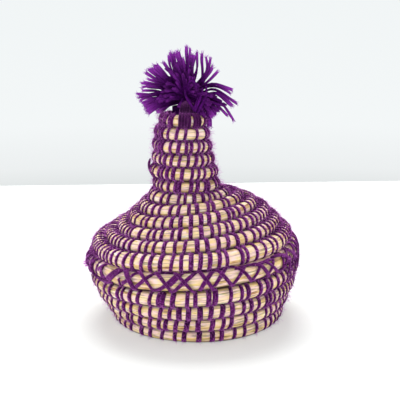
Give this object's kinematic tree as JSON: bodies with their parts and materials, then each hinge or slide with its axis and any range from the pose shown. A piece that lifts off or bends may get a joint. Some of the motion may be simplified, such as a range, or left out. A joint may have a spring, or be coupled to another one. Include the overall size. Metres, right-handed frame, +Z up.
{
  "type": "storage basket",
  "caption": "Small round coiled straw basket sewn with purple yarn, cross-laced at the rim, with a tall necked lift-off lid and a yarn tassel.",
  "frame": {"origin": "on the table under the middle of the basket's overall width and depth, with the lid on", "axes": "+Z up towards the tassel, -Y towards the side that the picture shows, +X to the right seen from that side"},
  "size_m": [0.1496, 0.1464, 0.175],
  "materials": {
    "straw": "dry matte straw stems with a faint sheen",
    "purple_yarn": "fuzzy matte wool"
  },
  "bodies": {
    "bowl": {"bowl_floor_coil": "straw", "bowl_wall_coil": "straw", "bowl_rim_coil": "straw", "rim_lacing_under": "purple_yarn", "rim_lacing_over": "purple_yarn", "rim_yarn_tail": "purple_yarn"},
    "lid": {"lid_neck_coil": "straw", "lid_shoulder_coil": "straw", "lid_rim_coil": "straw", "tassel": "purple_yarn", "tassel_binding": "purple_yarn", "neck_yarn_tail": "purple_yarn"}
  },
  "joints": [
    {"name": "lid_lift", "type": "slide", "parent": "bowl", "child": "lid", "axis": [0, 0, 1], "range_m": [0, 0.12]}
  ]
}
